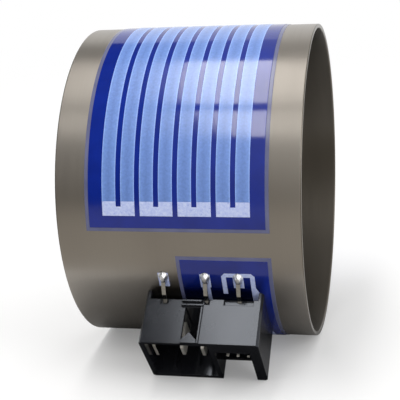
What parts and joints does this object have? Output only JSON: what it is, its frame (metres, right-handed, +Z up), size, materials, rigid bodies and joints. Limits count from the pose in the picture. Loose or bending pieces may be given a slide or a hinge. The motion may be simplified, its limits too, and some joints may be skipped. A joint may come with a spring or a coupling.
{
  "type": "tube band heater",
  "caption": "Short steel tube with a blue glass-insulated heating circuit printed round it, and a black plug connector standing on the tube, soldered to the print.",
  "frame": {"origin": "on the tube's axis, halfway along the tube", "axes": "+X along the tube, towards the end that the sensor socket is nearer to; +Y away from the connector's side; +Z up as the heater lies"},
  "size_m": [0.058, 0.0874, 0.0804],
  "materials": {
    "steel": "fine brushed along the circumference",
    "blue_glaze": "glossy glass print",
    "track_print": "satin print under clear glass",
    "conductor_print": "matt printed silver",
    "solder": "bright solder",
    "tinned_contact": "tinned, bright",
    "black_plastic": "moulded, fine satin",
    "ceramic_chip": "matt"
  },
  "bodies": {
    "root": {"heater_tube": "steel", "insulation_glaze": "blue_glaze", "track_1": "track_print", "track_2": "track_print", "track_3": "track_print", "track_4": "track_print", "track_5": "track_print", "track_6": "track_print", "track_7": "track_print", "track_8": "track_print", "front_bridge_1": "conductor_print", "front_bridge_2": "conductor_print", "front_bridge_3": "conductor_print", "front_bridge_4": "conductor_print", "rear_bridge_1": "conductor_print", "rear_bridge_2": "conductor_print", "rear_bridge_3": "conductor_print", "neutral_feed": "conductor_print", "live_feed": "conductor_print", "earth_weld_pad": "conductor_print", "sensor_pad_1": "conductor_print", "sensor_pad_2": "conductor_print", "sensor_pad_3": "conductor_print", "ntc_thermistor": "ceramic_chip", "connector_housing": "black_plastic", "earth_contact": "tinned_contact", "neutral_contact": "tinned_contact", "live_contact": "tinned_contact", "sensor_pin_1": "tinned_contact", "sensor_pin_2": "tinned_contact", "sensor_pin_3": "tinned_contact", "earth_solder": "solder", "neutral_solder": "solder", "live_solder": "solder", "sensor_solder_1": "solder", "sensor_solder_2": "solder", "sensor_solder_3": "solder"}
  },
  "joints": []
}
